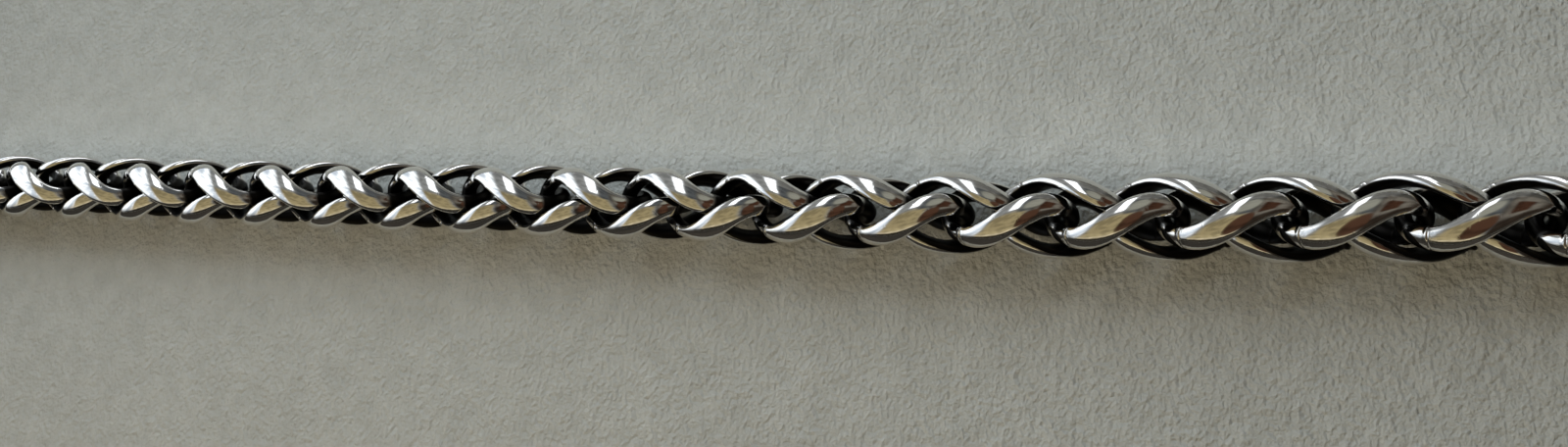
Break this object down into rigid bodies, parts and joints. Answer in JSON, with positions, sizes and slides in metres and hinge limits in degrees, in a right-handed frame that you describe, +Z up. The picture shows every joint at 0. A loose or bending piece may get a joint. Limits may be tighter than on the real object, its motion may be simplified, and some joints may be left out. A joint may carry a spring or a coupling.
{
  "type": "wheat chain necklace",
  "caption": "Heavy wheat chain necklace, plaited from twisted oval links with darkened recesses, closed in a loop with a plain barrel clasp and laid flat.",
  "frame": {"origin": "centre of the loop on the surface that the chain lies on", "axes": "+X along the straight front stretch, -Y from the middle of the loop towards that stretch, +Z up off the surface"},
  "size_m": [0.2661, 0.0883, 0.008],
  "materials": {
    "silver_links": "polished silver, dark oxide left in the recesses and on the inner faces",
    "silver_clasp": "polished silver"
  },
  "bodies": {
    "root": {"front_links": "silver_links", "back_links": "silver_links", "clasp": "silver_clasp"}
  },
  "joints": []
}
